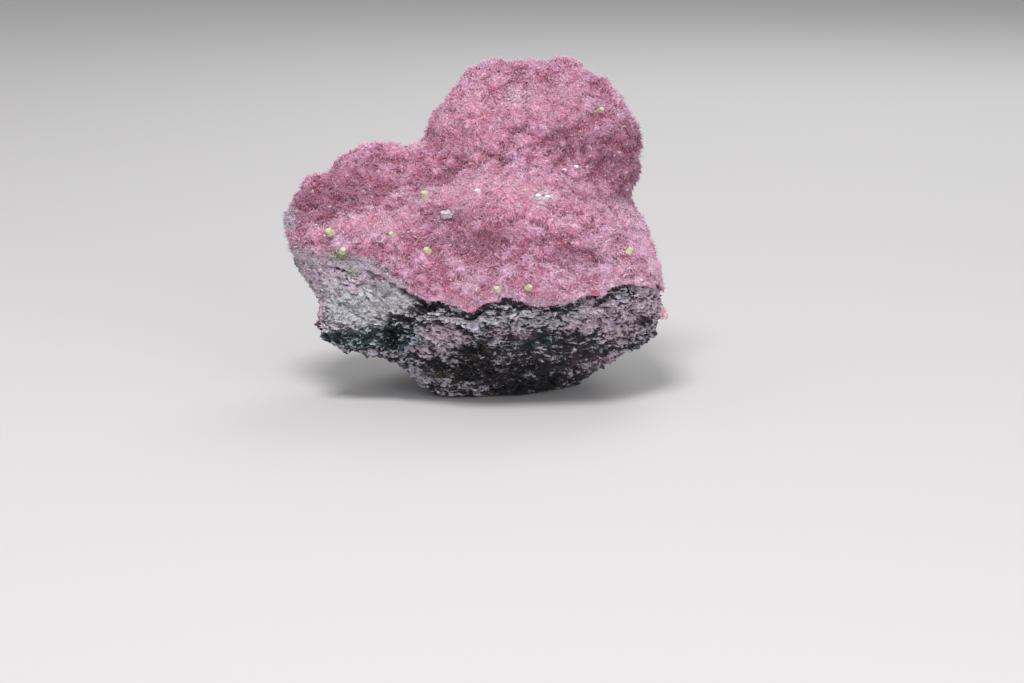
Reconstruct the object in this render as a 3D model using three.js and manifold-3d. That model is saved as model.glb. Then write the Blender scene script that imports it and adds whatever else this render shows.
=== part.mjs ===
// Axinite specimen: a crust of fine pink crystals over a broken grey matrix, with yellow-green,
// white and colourless crystals set in the crust.
// Millimetres, +Z up, display side towards -Y, origin under the middle of the specimen.
//
// The rock is three masses grown together: a broad body, a lobe that stands on its back and a
// wing at its left. Each mass is star-shaped: every point of its surface is seen from its heart,
// so the surface is a distance from the heart for each direction. Landmarks on the real form fix
// that distance, and ledges, chips, hollows and lumps are added to it.

import * as THREE from 'three';
import { mergeVertices } from 'three/addons/utils/BufferGeometryUtils.js';
import Module from 'manifold-3d';

const wasm = await Module();
wasm.setup();

// ---------------------------------------------------------------- driving dimensions

const BODY = {
  heart: [4, -2, 38],
  detail: { matrix: 9, crust: 9 }, // subdivisions of the icosahedron under each surface
  shift: { matrix: [0, -0.15, -0.3], crust: [0, -0.3, 0.3] }, // crowds the facets to that side
  landmarks: [
    [14, -20, 70], [2, -7, 69], [-7, 8, 68], [25, -14, 68], [37, -2, 64], // ridge under the lobe
    [14, -7, 73], [30, 3, 71], [0, 6, 74], [-6, 14, 75], [43, 8, 68], [8, 20, 80], [30, 22, 78], // shelf
    [-15, -11, 63], [-26, 2, 62], [1, -22, 64], [21, -25, 63], [38, -18, 57], // brow
    [50, 9, 59], [46, 0, 60], [54, 7, 56], [58, 2, 47], [60, -1, 40], // right shoulder
    [62, -7, 31], [61, -12, 26], [57, -16, 16], [48, -14, 12], [41, -11, 7], [33, -8, 0],
    [-14, -32, 49], [2, -37, 53], [18, -36, 53], [33, -32, 48], [48, -23, 48], // slope
    [-28, -34, 48], [-28, -37, 44], [-22, -40, 39], [-12, -45, 35], [-5, -48, 33], // ledge
    [9, -49, 35], [25, -47, 34], [33, -46, 36], [42, -42, 36], [52, -33, 38], [58, -23, 36],
    [8, -46, 41], [22, -45, 42], [-8, -42, 42], [38, -39, 43],
    [-32, -32, 36], [-38, -33, 28], [-46, -28, 33], [-40, -32, 35],
    [-46, -26, 39], [-38, -30, 43], [-52, -20, 39], [-24, -36, 27], // left face
    [-47, -31, 17], [-49.5, -30, 23], [-53, -28, 29], [-49, -25, 31], [-28, -29, 14], // lower left corner
    [-22, -27, 10], [-18, -26, 6], [-16, -25, 3], [-5, -24, 0], [6, -22, 0], [26, -13, 0], // toe
    [-8, -44, 26], [8, -45, 27], [26, -43, 27], [44, -36, 28], [55, -25, 26], // under the ledge
    [-8, -36, 14], [8, -37, 14], [26, -33, 14], [42, -26, 16], [18, -19, 0], // underside in front
    [-26, -17, 12], [-20, -14, 6],
    [18, 50, 66], [-6, 46, 64], [44, 36, 66], [18, 52, 48], [-12, 48, 46], [50, 32, 50], // back
    [15, 46, 27], [-15, 40, 27], [44, 34, 27], [-20, 30, 62], [51, 24, 60],
    [60, 7, 38], [57, 10, 28], [50, 3, 16], [38, 10, 8], [-36, 10, 30], [-34, 22, 42],
    [-34, -8, 18], [-24, 6, 15], [-40, -12, 24], [10, 32, 4], [28, 25, 4], [-10, 27, 4],
    [8, 0, -7], [-8, -10, -4], [24, -4, -4], [5, 16, -4], // cut off by the base
  ],
};
const LOBE = {
  heart: [20, 17, 74],
  detail: { matrix: 4, crust: 6 },
  shift: { matrix: [0, 0, 0], crust: [0, -0.3, 0.3] },
  landmarks: [
    [-18, 20, 80], [-13, 23, 89], [-9, 25, 93], [-4, 29, 100], [3, 32, 103.5], [20, 33, 104], // outline
    [30, 33, 103.5], [36, 31, 100.5], [42, 29, 98.5], [45, 27, 96], [51, 22, 89], [56, 16, 84],
    [55, 14, 79], [54, 12, 74], [53, 11, 66], [50, 9, 60],
    [4, 6, 84], [22, 4, 85], [40, 8, 84], [8, 20, 96], [24, 18, 97], [38, 21, 95], // face
    [14, -3, 76], [30, 1, 75], [43, 6, 71], [-8, 12, 74], [-18, 13, 73], [1, 3, 77], // foot of the face
    [-14, 10, 63], [2, 1, 62], [15, -4, 61], [31, -2, 60], [43, 2, 58], // buried in the body
    [22, 43, 98], [5, 43, 95], [40, 38, 91], [22, 52, 80], [-2, 46, 78], [51, 34, 76], // back
    [-9, 31, 88], [49, 27, 86], [-12, 34, 76], [22, 50, 64], [-4, 44, 62], [48, 32, 64],
    [20, 8, 50], [-8, 26, 60], // buried
  ],
};
const WING = {
  heart: [-36, 2, 46],
  detail: { matrix: 5, crust: 6 },
  shift: { matrix: [-0.1, 0, 0], crust: [-0.2, -0.2, 0.3] },
  landmarks: [
    [-64, -6, 52], [-62, -2, 57], [-58, 3, 64], [-54, 5, 68], [-44, 9, 72.5], [-40, 13, 76.5], // outline
    [-35, 15, 79], [-29, 16, 80], [-24, 17, 76], [-21, 19, 77.5], [-16, 20, 80], [-10, 18, 80],
    [-61, 5, 53], [-57, 10, 58], [-51, 12, 64], [-42, 17, 71], [-33, 22, 75], [-23, 25, 75], // behind it
    [-39, 6, 66], [-46, 0, 60.5], [-54, -2, 60], [-30, 4, 66], [-20, 6, 69], // hollow of the terrace
    [-55, -11, 56], [-45, -12, 57.5], [-36, -7, 60], [-25, -4, 62], // crest of the terrace
    [-45, -22, 53], [-32, -22, 54], [-56, -17, 52], [-41, -27, 48], [-34, -29, 46], // its front
    [-60.5, -13, 46], [-56, -18.5, 41], [-51, -24, 35], [-44, -30, 37], [-34, -34, 39], // grey face under it
    [-20, 36, 70], [-34, 30, 70], [-46, 24, 58], [-55, 15, 48], [-44, 28, 46], [-26, 36, 44], // back
    [-57, -2, 47], [-47, 4, 33], [-38, -8, 28], [-18, 0, 34], // buried in the body
    [-46, -30, 28], [-36, -33, 28], [-6, 0, 46], [-4, 4, 57], [-2, 12, 70], [-4, 20, 78], // and lobe
  ],
};
const MASSES = [BODY, LOBE, WING];

// Broken faces at the back and underneath: each is a plane, with its outward direction.
const BREAKS = [
  { through: [15, 46, 50], outward: [0.05, 0.98, -0.1] },
  { through: [22, 45, 88], outward: [0.1, 0.9, 0.3] },
  { through: [5, 37, 20], outward: [0.05, 0.85, -0.5] },
  { through: [50, 28, 60], outward: [0.7, 0.7, 0.1] },
  { through: [-32, 28, 56], outward: [-0.4, 0.9, -0.15] },
  { through: [-46, 10, 35], outward: [-0.75, 0.4, -0.5] },
  { through: [50, 6, 18], outward: [0.7, 0.3, -0.65] },
];
const SOFTNESS = 0.05; // how far round a landmark, on a unit sphere, the surface rounds off
const EASE = 0.004; // lets the surface miss a landmark slightly where neighbours disagree
const BASE_Z = 0; // the underside is flat here, and the specimen rests on it

// Edge of the pink crust, once round the specimen, seen from EDGE_HEART.
const EDGE_HEART = new THREE.Vector3(4, -2, 44);
const CRUST_EDGE = [
  [-12, -45, 35], [-6, -48, 32.5], [0, -48, 32.5], [3, -48, 34], [10, -48, 34], [18, -48, 33.5],
  [28, -46, 33.5], [33, -46, 36], [42, -42, 36], [48, -38, 39], [52, -33, 38], [58, -23, 35],
  [62, -8, 31], [60, 7, 42], [56, 14, 52], [60, 20, 60], [56, 28, 73], [46, 38, 85],
  [22, 46, 88], [0, 44, 84], [-20, 36, 72], [-36, 30, 66], [-48, 18, 60], [-58, 6, 57],
  [-63, -1, 51], [-62, -8, 48], [-60, -13, 45], [-55, -19, 43], [-49, -24, 43], [-42, -29, 43.5],
  [-35, -33, 42.5], [-29, -37, 41], [-23, -40, 38], [-18, -43, 36],
];
const EDGE_WIGGLE = [{ size: 5, height: 1.6 }, { size: 2.3, height: 1 }]; // how the edge strays up and down
const EDGE_STEPS = 110;
const CRUST_THICKNESS = 5;
const EDGE_THICKNESS = { front: 2.6, left: 1.4 }; // it thins out at the left
const THINNING = { fromX: -22, toX: -36 }; // where it goes over from one to the other
const FULL_WITHIN = 14; // the crust reaches its full thickness this far in from its edge
const RECESS_REACH = 6; // the matrix comes back out this far below the edge
const CRUST_GAP = 0.3;
const GAP_ALONG_ARM = 1.4 * CRUST_GAP; // an arm from the heart meets the surface at a slant

const CHIP = { count: 60, least: 0.5, most: 2.6, tilt: 0.35, reach: 0.3, rounding: 90 }; // on each mass
const SWELL = 1.2; // the bare matrix stands this far out before its chips and shelves are taken off
const BARE = { from: 1, to: -6 }; // heights above the crust's edge between which the matrix turns rough
const SHELF = { spacing: 8.5, depth: 1.6, dip: new THREE.Vector3(0.08, -0.3, 1).normalize() };
const SHELF_BEND = [{ size: 17, height: 2.5 }];
const SHELF_FADE = [{ size: 11, height: 0.4 }]; // shelves come and go along the rock
const PITS = [
  { at: [-24, -32, 20], radius: 5, depth: 2.4 },
  { at: [-12, -42, 31], radius: 6, depth: 1.6 },
  { at: [12, -32, 9], radius: 6, depth: 2 },
  { at: [4, -38, 18], radius: 7, depth: 1.6 },
];
const CRUST_HOLLOWS = [
  { at: [2, -38, 53], radius: 11, depth: 1.6 },
  { at: [33, -33, 47], radius: 10, depth: 1.4 },
  { at: [-2, -12, 67], radius: 7, depth: 1.2 },
  { at: [30, 8, 84], radius: 9, depth: 1.2 },
];
const LUMPS = [{ size: 13, height: 1.3 }, { size: 6, height: 1.2 }];
const LUMPS_AT_EDGE = { share: 0.35, from: -2, to: 8 }; // they are lower close to the crust's edge

const BLADE_COUNT = 34;
const BLADE = { length: 5, width: 1.8, thickness: 0.9, sunk: 0.75, lean: 0.9, aboveEdge: 3 };
const BLADE_SCALE = { least: 0.7, most: 1.2 };
const FARTHEST = 62; // of all surface points from their heart

// Crystals of other kinds, each in a pocket of what carries it: place, size across and along the
// axis, and how far the axis leans from the surface.
const POCKET_GAP = 0.35;
const SUNK = 0.45; // share of a crystal's length that is in its pocket
const BLUNT_TIP = 0.36; // radius of a crystal's tip, where that of its root is a half
const YELLOW_GREEN = [
  { at: [-15.4, -14.6, 62.9], size: [3, 2.6, 4.2], lean: [0.2, -0.3, 0.1] },
  { at: [-45.1, -22, 53.1], size: [2.9, 2.6, 2.8], lean: [-0.3, -0.4, 0] },
  { at: [-40.9, -27.3, 48.3], size: [2.6, 2.2, 2.4], lean: [0.5, -0.2, 0.2] },
  { at: [-14.4, -32.6, 49.1], size: [2.6, 2.2, 2.4], lean: [-0.4, 0, 0.3] },
  { at: [49, -24.1, 47.7], size: [2.2, 2, 2.4], lean: [0.2, 0.3, 0.5] },
  { at: [7.5, -46.8, 39.6], size: [2.2, 1.8, 2.2], lean: [-0.3, 0, 0.5] },
  { at: [17.1, -46.1, 40.1], size: [2.4, 1.8, 2.2], lean: [0.4, 0, 0.4] },
  { at: [40.8, 12.4, 87.6], size: [2.2, 1.8, 2.2], lean: [0.2, -0.5, 0] },
  { at: [-25, -27.7, 53.1], size: [2, 1.8, 2.2], lean: [-0.3, -0.3, 0.2] },
];
const WHITE = [{ at: [-8.6, -25.3, 59.4], size: [4.4, 3.2, 2.6], lean: [0.1, -0.2, 0.1] }];
const CLEAR = [
  { at: [20.2, -23.6, 64.6], size: [2.6, 1, 4], lean: [-0.4, -0.3, 0.5] },
  { at: [22.6, -22.8, 64.2], size: [2, 0.9, 3.2], lean: [0.6, -0.3, 0.5] },
  { at: [32.6, 0.8, 70.3], size: [2.2, 0.9, 3.2], lean: [0.3, -0.4, 0.5] },
  { at: [29, -1.4, 69.8], size: [1.8, 0.9, 3], lean: [-0.4, -0.4, 0.3] },
  { at: [1.3, -18.7, 65.6], size: [1.9, 0.9, 3], lean: [-0.6, -0.2, 0.4] },
];
const PINK_NUB = { at: [61.2, -13, 25], size: [4, 4, 5], uneven: 0.25 };

// ---------------------------------------------------------------- numbers

const GRAZING = 0.05; // a plane at less than this to a direction is passed by
const SCALE = 100; // keeps the reciprocals of distances near one
const WELD = 1e-4; // corners closer than this are one

function randomFrom(seed) {
  let state = seed;
  return () => {
    state = (state + 0x6d2b79f5) | 0;
    let t = Math.imul(state ^ (state >>> 15), 1 | state);
    t = (t + Math.imul(t ^ (t >>> 7), 61 | t)) ^ t;
    return ((t ^ (t >>> 14)) >>> 0) / 4294967296;
  };
}

const smoothstep = (low, high, x) => THREE.MathUtils.smoothstep(x, low, high);
const vectors = (points) => points.map((p) => new THREE.Vector3(...p));

function latticeValue(x, y, z) {
  let h = Math.imul(x, 374761393) ^ Math.imul(y, 668265263) ^ Math.imul(z, 2147483647 - 97);
  h = Math.imul(h ^ (h >>> 13), 1274126177);
  return (((h ^ (h >>> 16)) >>> 0) / 4294967296) * 2 - 1;
}

// Smooth noise from -1 to 1 that varies over about one cell.
function noise(point, cell) {
  const [x, y, z] = [point.x / cell, point.y / cell, point.z / cell];
  const [i, j, k] = [Math.floor(x), Math.floor(y), Math.floor(z)];
  const [u, v, w] = [x - i, y - j, z - k].map((t) => t * t * (3 - 2 * t));
  const mix = THREE.MathUtils.lerp;
  const edge = (b, c) => mix(latticeValue(i, j + b, k + c), latticeValue(i + 1, j + b, k + c), u);
  return mix(mix(edge(0, 0), edge(1, 0), v), mix(edge(0, 1), edge(1, 1), v), w);
}

const waves = (list, point) => list.reduce((sum, { size, height }) => sum + height * noise(point, size), 0);

// Solves the square system rows * x = right by elimination with row exchange.
function solve(rows, right) {
  const n = right.length;
  const m = rows.map((row, i) => [...row, right[i]]);
  for (let c = 0; c < n; c++) {
    let best = c;
    for (let r = c + 1; r < n; r++) if (Math.abs(m[r][c]) > Math.abs(m[best][c])) best = r;
    [m[c], m[best]] = [m[best], m[c]];
    for (let r = c + 1; r < n; r++) {
      const share = m[r][c] / m[c][c];
      for (let k = c; k <= n; k++) m[r][k] -= share * m[c][k];
    }
  }
  const x = new Array(n).fill(0);
  for (let r = n - 1; r >= 0; r--) {
    let sum = m[r][n];
    for (let k = r + 1; k < n; k++) sum -= m[r][k] * x[k];
    x[r] = sum / m[r][r];
  }
  return x;
}

// ---------------------------------------------------------------- the rock's form

const masses = MASSES.map(({ heart, landmarks, ...rest }) => {
  const middle = new THREE.Vector3(...heart);
  const fitted = fitDistance(middle, vectors(landmarks));
  return { ...rest, heart: middle, distance: (direction) => broken(middle, direction, fitted(direction)) };
});

// The distance left when the breaks have cut off all that lies beyond them.
function broken(heart, direction, distance) {
  return BREAKS.reduce((least, { through, outward }) => {
    const normal = new THREE.Vector3(...outward).normalize();
    const facing = normal.dot(direction);
    if (facing < GRAZING) return least;
    return Math.min(least, normal.dot(new THREE.Vector3(...through).sub(heart)) / facing);
  }, distance);
}

// Distance from a heart to the surface in any direction: a multiquadric fit through landmarks.
// It fits the reciprocal of the distance, with a part that is linear in the direction, because
// that is what a flat face has: between landmarks the surface stays flat instead of swelling.
function fitDistance(heart, landmarks) {
  const directions = landmarks.map((p) => p.clone().sub(heart).normalize());
  const kernel = (a, b) => Math.hypot(a.distanceTo(b), SOFTNESS);
  const linear = ({ x, y, z }) => [1, x, y, z];
  const rows = directions.map((a, i) => {
    const row = directions.map((b, j) => kernel(a, b) - (i === j ? EASE : 0));
    return [...row, ...linear(a)];
  });
  for (let k = 0; k < 4; k++) rows.push([...directions.map((d) => linear(d)[k]), 0, 0, 0, 0]);
  const nearness = landmarks.map((p) => SCALE / p.distanceTo(heart));
  const weights = solve(rows, [...nearness, 0, 0, 0, 0]);
  const flat = weights.splice(directions.length);
  return (direction) => {
    const base = linear(direction).reduce((sum, value, k) => sum + flat[k] * value, 0);
    return SCALE / weights.reduce((sum, w, i) => sum + w * kernel(direction, directions[i]), base);
  };
}

const along = (mass, direction, distance) => mass.heart.clone().addScaledVector(direction, distance);

// Outward normal of a bare mass, from nearby points of it.
function formNormal(mass, direction) {
  const step = 0.06;
  const across = new THREE.Vector3(0, 0, 1).cross(direction).normalize();
  const up = direction.clone().cross(across);
  const at = (side, by) => {
    const d = direction.clone().addScaledVector(side, by).normalize();
    return along(mass, d, mass.distance(d));
  };
  const alongAcross = at(across, step).sub(at(across, -step));
  const alongUp = at(up, step).sub(at(up, -step));
  return alongAcross.cross(alongUp).normalize();
}

// The crust's edge as directions from EDGE_HEART, with the rise of each above the level.
const edgeRing = (() => {
  const path = new THREE.CatmullRomCurve3(vectors(CRUST_EDGE), true);
  return path.getPoints(EDGE_STEPS).slice(0, EDGE_STEPS).map((point) => {
    const wiggled = point.clone();
    wiggled.z += waves(EDGE_WIGGLE, point);
    const direction = wiggled.sub(EDGE_HEART).normalize();
    return { direction, turn: Math.atan2(direction.y, direction.x), rise: Math.asin(direction.z) };
  });
})();

const edgeByTurn = [...edgeRing].sort((a, b) => a.turn - b.turn);

function edgeRise(turn) {
  const found = edgeByTurn.findIndex((p) => p.turn > turn);
  const next = found < 0 ? 0 : found;
  const after = edgeByTurn[next];
  const before = edgeByTurn.at(next - 1);
  const full = 2 * Math.PI;
  const span = (after.turn - before.turn + full) % full;
  const share = ((turn - before.turn + full) % full) / span;
  return THREE.MathUtils.lerp(before.rise, after.rise, share);
}

// Height in millimetres of a point above the crust's edge, positive where the crust is.
function aboveEdge(point) {
  const arm = point.clone().sub(EDGE_HEART);
  const length = arm.length();
  return (Math.asin(arm.z / length) - edgeRise(Math.atan2(arm.y, arm.x))) * length;
}

// How far the matrix lies below the form: under the crust, and in a recess below its edge.
// The crust is thick at its edge in front and thin where it fades out at the left.
function matrixInset(point) {
  const above = aboveEdge(point);
  const leftness = smoothstep(THINNING.fromX, THINNING.toX, point.x);
  const edge = THREE.MathUtils.lerp(EDGE_THICKNESS.front, EDGE_THICKNESS.left, leftness);
  if (above < 0) return edge * Math.exp(above / RECESS_REACH);
  return edge + (CRUST_THICKNESS - edge) * smoothstep(0, FULL_WITHIN, above);
}

// Depth of round pits or hollows at a point of the surface.
function depthOf(hollows, point) {
  return hollows.reduce((sum, { at, radius, depth }) => {
    const share = point.distanceTo(new THREE.Vector3(...at)) / radius;
    return sum + depth * Math.exp(-2 * share * share);
  }, 0);
}

// Shelves of the layered matrix: each swells slowly outwards and breaks back sharply below.
function shelfDepth(point) {
  const height = (point.dot(SHELF.dip) + waves(SHELF_BEND, point)) / SHELF.spacing;
  const share = height - Math.floor(height);
  return SHELF.depth * smoothstep(0.25, 1, share) * (0.6 + waves(SHELF_FADE, point));
}

// Flat chips: planes that shave a mass, each near its own spot.
function chipsOf(mass) {
  const random = randomFrom(11);
  const golden = Math.PI * (3 - Math.sqrt(5));
  return Array.from({ length: CHIP.count }, (_, i) => {
    const z = 1 - (2 * (i + 0.5)) / CHIP.count;
    const ring = Math.sqrt(1 - z * z);
    const middle = new THREE.Vector3(ring * Math.cos(golden * i), ring * Math.sin(golden * i), z);
    const tilt = new THREE.Vector3(random() - 0.5, random() - 0.5, random() - 0.5);
    const normal = formNormal(mass, middle).addScaledVector(tilt, CHIP.tilt).normalize();
    const depth = THREE.MathUtils.lerp(CHIP.least, CHIP.most, random());
    return { middle, normal, plane: normal.dot(middle) * mass.distance(middle) - depth };
  });
}

// A chip is flat over its reach, an angle seen from the heart, and rounds off beyond it.
function chipped(mass, direction, distance) {
  return mass.chips.reduce((least, { middle, normal, plane }) => {
    const facing = normal.dot(direction);
    if (facing < GRAZING) return least;
    const beyond = Math.max(0, direction.angleTo(middle) - CHIP.reach);
    return Math.min(least, plane / facing + CHIP.rounding * beyond * beyond);
  }, distance);
}

function aboveBase(mass, direction, distance) {
  if (direction.z >= 0) return distance;
  return Math.min(distance, (BASE_Z - mass.heart.z) / direction.z);
}

function matrixDistance(mass, direction) {
  const form = mass.distance(direction);
  const point = along(mass, direction, form);
  const bare = smoothstep(BARE.from, BARE.to, aboveEdge(point));
  const rough = chipped(mass, direction, form + SWELL) - shelfDepth(point) - depthOf(PITS, point);
  const surface = THREE.MathUtils.lerp(form, rough, bare);
  return aboveBase(mass, direction, surface - matrixInset(point));
}

function crustDistance(mass, direction) {
  const form = mass.distance(direction);
  const point = along(mass, direction, form);
  const inside = smoothstep(LUMPS_AT_EDGE.from, LUMPS_AT_EDGE.to, aboveEdge(point));
  const share = THREE.MathUtils.lerp(LUMPS_AT_EDGE.share, 1, inside);
  return form + share * waves(LUMPS, point) - depthOf(CRUST_HOLLOWS, point);
}

masses.forEach((mass) => {
  mass.chips = chipsOf(mass);
});

// ---------------------------------------------------------------- solids

function manifoldOf(geometry) {
  const bare = geometry.clone();
  bare.deleteAttribute('normal');
  bare.deleteAttribute('uv');
  const merged = mergeVertices(bare, WELD);
  return new wasm.Manifold(
    new wasm.Mesh({
      numProp: 3,
      vertProperties: merged.attributes.position.array,
      triVerts: new Uint32Array(merged.index.array),
    }),
  );
}

function geometryOf(manifold) {
  const mesh = manifold.getMesh();
  const positions = new Float32Array(mesh.numVert * 3);
  for (let i = 0; i < mesh.numVert; i++) {
    const start = i * mesh.numProp;
    positions.set(mesh.vertProperties.subarray(start, start + 3), i * 3);
  }
  const geometry = new THREE.BufferGeometry();
  geometry.setAttribute('position', new THREE.BufferAttribute(positions, 3));
  geometry.setIndex(new THREE.BufferAttribute(new Uint32Array(mesh.triVerts), 1));
  return geometry;
}

// A closed surface round the heart of a mass, at the distance that distanceOf gives.
function starSolid(mass, detail, shift, distanceOf) {
  const geometry = new THREE.IcosahedronGeometry(1, detail);
  const position = geometry.attributes.position;
  const shiftBy = new THREE.Vector3(...shift);
  for (let i = 0; i < position.count; i++) {
    const direction = new THREE.Vector3().fromBufferAttribute(position, i).add(shiftBy).normalize();
    const point = along(mass, direction, distanceOf(mass, direction));
    position.setXYZ(i, point.x, point.y, point.z);
  }
  return manifoldOf(geometry);
}

function joinedMasses(kind, distanceOf) {
  const solids = masses.map((mass) => starSolid(mass, mass.detail[kind], mass.shift[kind], distanceOf));
  return wasm.Manifold.union(solids);
}

// Everything that lies above the crust's edge: a cone from EDGE_HEART through the edge, with a lid.
function coveredSpace() {
  const reach = 200;
  const rim = edgeRing.map(({ direction }) => EDGE_HEART.clone().addScaledVector(direction, reach));
  const apex = EDGE_HEART.clone().setZ(EDGE_HEART.z + reach);
  const corners = rim.flatMap((point, i) => {
    const next = rim[(i + 1) % rim.length];
    return [EDGE_HEART, next, point, apex, point, next];
  });
  const geometry = new THREE.BufferGeometry().setFromPoints(corners);
  return manifoldOf(geometry);
}

function largestPiece(manifold) {
  return manifold.decompose().reduce((a, b) => (a.volume() > b.volume() ? a : b));
}

// A flat crystal blade with a lopsided chisel tip, growing along +Z from the origin.
function bladeGeometry({ length, width, thickness }) {
  const outline = new THREE.Shape();
  const shoulder = length - width * 0.7;
  const lowShoulder = 0.9 * shoulder;
  const tip = width * 0.12;
  outline.moveTo(-width / 2, 0);
  outline.lineTo(width / 2, 0);
  outline.lineTo(width / 2, shoulder);
  outline.lineTo(tip, length);
  outline.lineTo(-width / 2, lowShoulder);
  const blade = new THREE.ExtrudeGeometry(outline, { depth: thickness, bevelEnabled: false });
  blade.translate(0, 0, -thickness / 2);
  blade.rotateX(Math.PI / 2);
  return blade;
}

// Turns +Z to an axis, with a spin about it, and moves the origin to a point.
function placed(geometry, point, axis, spin) {
  const upright = new THREE.Vector3(0, 0, 1);
  const turn = new THREE.Quaternion().setFromUnitVectors(upright, axis);
  turn.multiply(new THREE.Quaternion().setFromAxisAngle(upright, spin));
  return geometry.clone().applyQuaternion(turn).translate(point.x, point.y, point.z);
}

// The crust's surface nearest to a place, as the mass it belongs to and the direction from its heart.
function seatOf(place, distanceOf) {
  const wanted = new THREE.Vector3(...place);
  const seats = masses.map((mass) => {
    const direction = wanted.clone().sub(mass.heart).normalize();
    return { mass, direction, point: along(mass, direction, distanceOf(mass, direction)) };
  });
  return seats.reduce((a, b) => (a.point.distanceTo(wanted) < b.point.distanceTo(wanted) ? a : b));
}

// A stubby six-sided crystal with a blunt tip, from its sunk end at the origin along +Z.
function prismGeometry([width, depth, length], sides) {
  const prism = new THREE.CylinderGeometry(BLUNT_TIP, 0.5, 1, sides);
  prism.rotateX(Math.PI / 2).scale(width, depth, length).translate(0, 0, length / 2);
  return prism;
}

// A crystal and its pocket, both on the seat nearest to its place.
function seatedCrystal({ at, size, lean }, sides, distanceOf) {
  const seat = seatOf(at, distanceOf);
  const axis = formNormal(seat.mass, seat.direction).add(new THREE.Vector3(...lean)).normalize();
  const root = seat.point.clone().addScaledVector(axis, -SUNK * size[2]);
  const pocketSize = size.map((length) => length + 2 * POCKET_GAP);
  const pocketRoot = root.clone().addScaledVector(axis, -POCKET_GAP);
  return {
    crystal: manifoldOf(placed(prismGeometry(size, sides), root, axis, 0)),
    pocket: manifoldOf(placed(prismGeometry(pocketSize, sides), pocketRoot, axis, 0)),
  };
}

// A rounded lump, with its pocket, half buried in the surface nearest to its place.
function seatedLump({ at, size, uneven }, distanceOf) {
  const { point } = seatOf(at, distanceOf);
  const lump = new THREE.IcosahedronGeometry(0.5, 1);
  const position = lump.attributes.position;
  for (let i = 0; i < position.count; i++) {
    const corner = new THREE.Vector3().fromBufferAttribute(position, i);
    corner.multiplyScalar(1 + uneven * noise(corner, 0.5));
    position.setXYZ(i, corner.x, corner.y, corner.z);
  }
  const sized = (gap) => {
    const scaled = lump.clone().scale(...size.map((length) => length + 2 * gap));
    return manifoldOf(scaled.translate(point.x, point.y, point.z));
  };
  return { crystal: sized(0), pocket: sized(POCKET_GAP) };
}

// Whether a point lies under the surface of another mass than its own, or within 1 mm of it.
function isInside(point, own) {
  const margin = 1;
  return masses.some((mass) => {
    if (mass === own) return false;
    const arm = point.clone().sub(mass.heart);
    return arm.length() < mass.distance(arm.clone().normalize()) + margin;
  });
}

// Blades that stand out of the crust, most of them at the front and on top.
function bladeCluster() {
  const random = randomFrom(8);
  const blades = [];
  while (blades.length < BLADE_COUNT) {
    const mass = masses[Math.floor(random() * masses.length)];
    const direction = new THREE.Vector3(random() * 2 - 1, random() * 2 - 1.3, random() * 2 - 0.6);
    direction.normalize();
    const point = along(mass, direction, crustDistance(mass, direction));
    const crowding = (point.distanceTo(mass.heart) / FARTHEST) ** 2;
    if (random() > crowding || aboveEdge(point) < BLADE.aboveEdge || isInside(point, mass)) continue;
    const lean = new THREE.Vector3(random() - 0.5, random() - 0.5, random() - 0.5);
    const axis = formNormal(mass, direction).addScaledVector(lean, BLADE.lean).normalize();
    const scale = THREE.MathUtils.lerp(BLADE_SCALE.least, BLADE_SCALE.most, random());
    const size = { length: BLADE.length * scale, width: BLADE.width * scale, thickness: BLADE.thickness };
    const root = point.addScaledVector(axis, -BLADE.sunk * size.length);
    blades.push(manifoldOf(placed(bladeGeometry(size), root, axis, random() * Math.PI)));
  }
  return blades;
}

// ---------------------------------------------------------------- the part

const yellowGreen = YELLOW_GREEN.map((crystal) => seatedCrystal(crystal, 6, crustDistance));
const white = WHITE.map((crystal) => seatedCrystal(crystal, 5, crustDistance));
const clear = CLEAR.map((crystal) => seatedCrystal(crystal, 4, crustDistance));
const nub = seatedLump(PINK_NUB, matrixDistance);

function withoutPockets(solid, crystals) {
  return solid.subtract(wasm.Manifold.union(crystals.map(({ pocket }) => pocket)));
}

const matrix = largestPiece(withoutPockets(joinedMasses('matrix', matrixDistance), [nub]));
const matrixWithGap = joinedMasses('matrix', (mass, d) => matrixDistance(mass, d) + GAP_ALONG_ARM);
const crustBody = joinedMasses('crust', crustDistance).intersect(coveredSpace());
const crustWithBlades = wasm.Manifold.union([crustBody, ...bladeCluster()]).subtract(matrixWithGap);
const crust = largestPiece(withoutPockets(crustWithBlades, [...yellowGreen, ...white, ...clear]));

const MATERIALS = {
  matrix: new THREE.MeshStandardMaterial({ color: 0x8d878f, roughness: 0.85, metalness: 0 }),
  pink: new THREE.MeshStandardMaterial({ color: 0xd98a9c, roughness: 0.55, metalness: 0 }),
  yellowGreen: new THREE.MeshStandardMaterial({ color: 0xc9c27a, roughness: 0.35, metalness: 0 }),
  white: new THREE.MeshStandardMaterial({ color: 0xe6dfe0, roughness: 0.4, metalness: 0 }),
  clear: new THREE.MeshStandardMaterial({ color: 0xf4f4f6, roughness: 0.1, metalness: 0 }),
};

function piece(name, manifold, material) {
  const mesh = new THREE.Mesh(geometryOf(manifold), material);
  mesh.name = name;
  return mesh;
}

const specimen = new THREE.Group();
specimen.add(piece('matrix', matrix, MATERIALS.matrix));
specimen.add(piece('pink_crust', crust, MATERIALS.pink));
specimen.add(piece('pink_nub', nub.crystal, MATERIALS.pink));
yellowGreen.forEach(({ crystal }, i) => {
  specimen.add(piece(`yellow_green_crystal_${i + 1}`, crystal, MATERIALS.yellowGreen));
});
white.forEach(({ crystal }, i) => {
  specimen.add(piece(`white_crystal_${i + 1}`, crystal, MATERIALS.white));
});
clear.forEach(({ crystal }, i) => {
  specimen.add(piece(`clear_crystal_${i + 1}`, crystal, MATERIALS.clear));
});

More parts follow.
